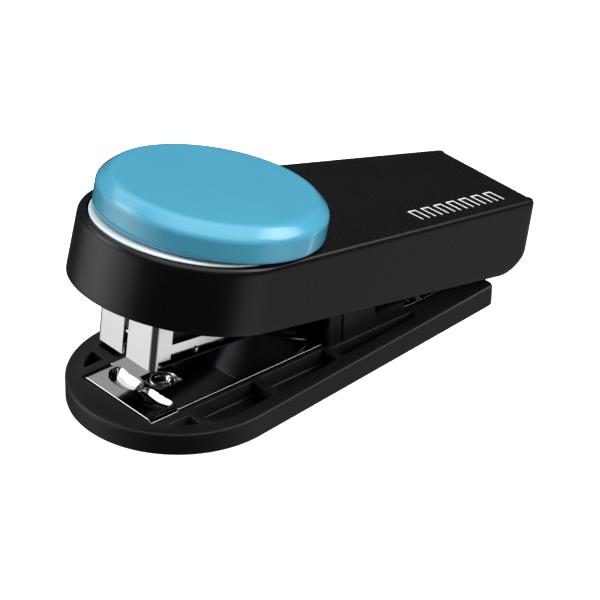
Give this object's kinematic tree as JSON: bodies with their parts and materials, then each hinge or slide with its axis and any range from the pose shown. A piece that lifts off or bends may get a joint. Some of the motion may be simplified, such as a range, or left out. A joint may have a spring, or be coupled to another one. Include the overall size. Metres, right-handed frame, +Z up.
{
  "type": "mini stapler",
  "caption": "Hand-pressed mini stapler: tapering cover with a round press cap, steel staple channel and a pocketed base with a clinching plate, hinged on one rear pin.",
  "frame": {"origin": "on the underside, below the centre of the base's round nose", "axes": "+Z up, +Y from the nose towards the hinge, +X across towards the stapler's left side when it is seen from the front"},
  "size_m": [0.0278, 0.0646, 0.0293],
  "materials": {
    "black_plastic": "satin moulded",
    "dark_plastic": "matt moulded",
    "blue_plastic": "glossy moulded",
    "white_plastic": "semi-gloss moulded",
    "rubber": "matt",
    "polished_steel": "bright nickel plated",
    "brushed_steel": "plain bright steel",
    "spring_steel": "bright spring steel"
  },
  "bodies": {
    "base": {"base_shell": "black_plastic", "base_sole": "rubber", "anvil_plate": "polished_steel", "anvil_rivet": "brushed_steel", "return_leaf": "spring_steel", "leaf_rivet": "brushed_steel", "hinge_bracket": "brushed_steel", "bracket_rivet_left": "brushed_steel", "bracket_rivet_right": "brushed_steel", "hinge_pin": "polished_steel"},
    "magazine": {"magazine_channel": "polished_steel", "staple_rail": "brushed_steel", "rail_rivet": "brushed_steel", "spring_rod": "polished_steel", "rod_anchor": "dark_plastic", "pusher_spring": "spring_steel", "pin_sleeve": "dark_plastic", "torsion_spring": "spring_steel"},
    "pusher": {"staple_pusher": "dark_plastic"},
    "cover": {"cover_shell": "black_plastic", "seat_ring": "white_plastic", "button_cap": "blue_plastic", "cap_screw": "brushed_steel", "driver_blade": "brushed_steel", "blade_rivet_left": "brushed_steel", "blade_rivet_right": "brushed_steel"}
  },
  "joints": [
    {"name": "magazine_swing", "type": "hinge", "parent": "base", "child": "magazine", "pos_m": [0, 0.0405, 0.0075], "axis": [1, 0, 0], "range_deg": [0, 6.1], "stiffness_Nm_per_rad": 0.6, "springref_deg": -5.73, "deforming": ["return_leaf"]},
    {"name": "cover_swing", "type": "hinge", "parent": "magazine", "child": "cover", "pos_m": [0, 0.0405, 0.0075], "axis": [1, 0, 0], "range_deg": [-12, 7.3], "stiffness_Nm_per_rad": 1.5, "deforming": ["torsion_spring"]},
    {"name": "pusher_slide", "type": "slide", "parent": "magazine", "child": "pusher", "axis": [0, 0.9934, -0.1146], "range_m": [0, 0.022], "stiffness_N_per_m": 20, "springref_m": -0.02, "deforming": ["pusher_spring"]}
  ]
}
